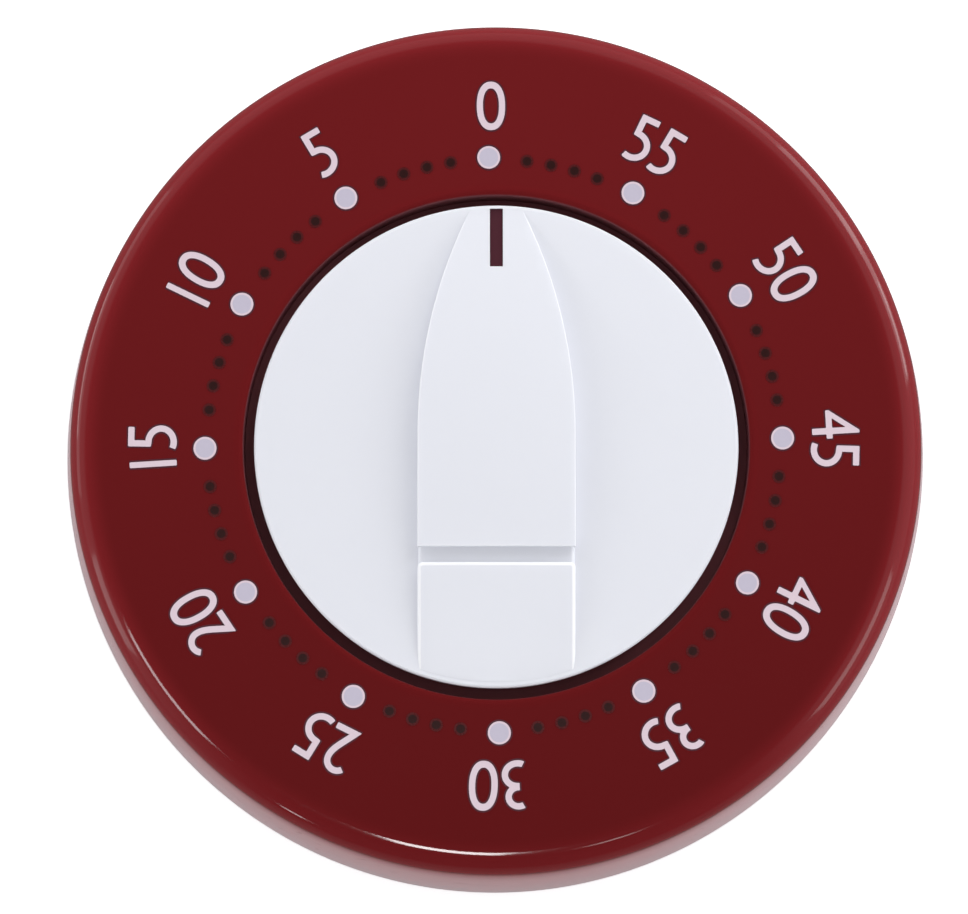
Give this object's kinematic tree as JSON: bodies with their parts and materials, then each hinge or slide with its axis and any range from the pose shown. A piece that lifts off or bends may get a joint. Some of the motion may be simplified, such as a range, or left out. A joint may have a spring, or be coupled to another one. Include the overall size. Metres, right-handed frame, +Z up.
{
  "type": "kitchen timer",
  "caption": "Round wind-up countdown timer: a dark red dial cup with minute numbers turns on a low base around a flush white pointer disc; geared movement and gong inside.",
  "frame": {"origin": "centre of the circle that the timer's feet stand on, on the table (bottom centre of the bounding box)", "axes": "+Z up out of the dial face, along the main arbor; +Y the way the pointer's index line points; +X to the right as the dial is read"},
  "size_m": [0.08, 0.08, 0.028],
  "materials": {
    "red_plastic": "glossy",
    "white_plastic": "soft gloss",
    "black_plastic": "fine matt",
    "rubber": "matt",
    "steel": "bright turned",
    "spring_steel": "blued",
    "gong_steel": "nickel plated",
    "brass": "stamped, satin"
  },
  "bodies": {
    "base": {"base_plate": "black_plastic", "rubber_feet": "rubber", "base_screw": "steel", "main_arbor": "steel", "release_cam": "brass", "ratchet_wheel": "steel", "great_wheel": "brass", "wheel_collet": "brass", "arbor_clip": "steel", "click_stud": "steel", "click_spring": "spring_steel", "pointer_disc": "white_plastic"},
    "click": {"click": "steel"},
    "dial": {"dial_housing": "red_plastic", "front_plate": "brass", "back_plate": "brass", "plate_pillars": "steel", "pillar_screws": "steel", "housing_screws": "steel", "spring_post": "steel", "mainspring": "spring_steel", "gong": "gong_steel", "gong_post": "steel", "gong_nut": "steel", "hammer_stud": "steel"},
    "hammer": {"hammer_lever": "steel", "hammer_head": "brass"},
    "second": {"second_arbor": "steel", "second_pinion": "steel", "second_wheel": "brass"},
    "third": {"third_arbor": "steel", "third_pinion": "steel", "third_wheel": "brass"},
    "escape": {"escape_arbor": "steel", "escape_pinion": "steel", "escape_wheel": "brass"},
    "anchor": {"anchor_arbor": "steel", "anchor": "steel", "inertia_bar": "brass"}
  },
  "joints": [
    {"name": "dial_turn", "type": "hinge", "parent": "base", "child": "dial", "pos_m": [0, 0, 0.012], "axis": [0, 0, -1], "range_deg": [0, 352], "deforming": ["mainspring"]},
    {"name": "second_turn", "type": "hinge", "parent": "dial", "child": "second", "pos_m": [0.0133, 0.00283, 0.014], "axis": [0, 0, -1], "range_deg": [0, 2640]},
    {"name": "third_turn", "type": "hinge", "parent": "dial", "child": "third", "pos_m": [0.01563, 0.0128, 0.014], "axis": [0, 0, -1], "range_deg": [-18480, 0]},
    {"name": "escape_turn", "type": "hinge", "parent": "dial", "child": "escape", "pos_m": [0.0106, 0.01882, 0.014], "axis": [0, 0, -1], "range_deg": [0, 110880]},
    {"name": "anchor_rock", "type": "hinge", "parent": "dial", "child": "anchor", "pos_m": [0.00406, 0.02111, 0.014], "axis": [0, 0, 1], "range_deg": [-6, 6]},
    {"name": "hammer_swing", "type": "hinge", "parent": "dial", "child": "hammer", "pos_m": [-0.01106, -0.00774, 0.0078], "axis": [0, 0, 1], "range_deg": [0, 8]},
    {"name": "click_lift", "type": "hinge", "parent": "base", "child": "click", "pos_m": [-0.00745, 0.0043, 0.01355], "axis": [0, 0, -1], "range_deg": [0, 10], "deforming": ["click_spring"]}
  ],
  "couplings": [
    {"joint": "second_turn", "follows": "dial_turn", "ratio": 7.5},
    {"joint": "third_turn", "follows": "dial_turn", "ratio": -52.5},
    {"joint": "escape_turn", "follows": "dial_turn", "ratio": 315}
  ]
}
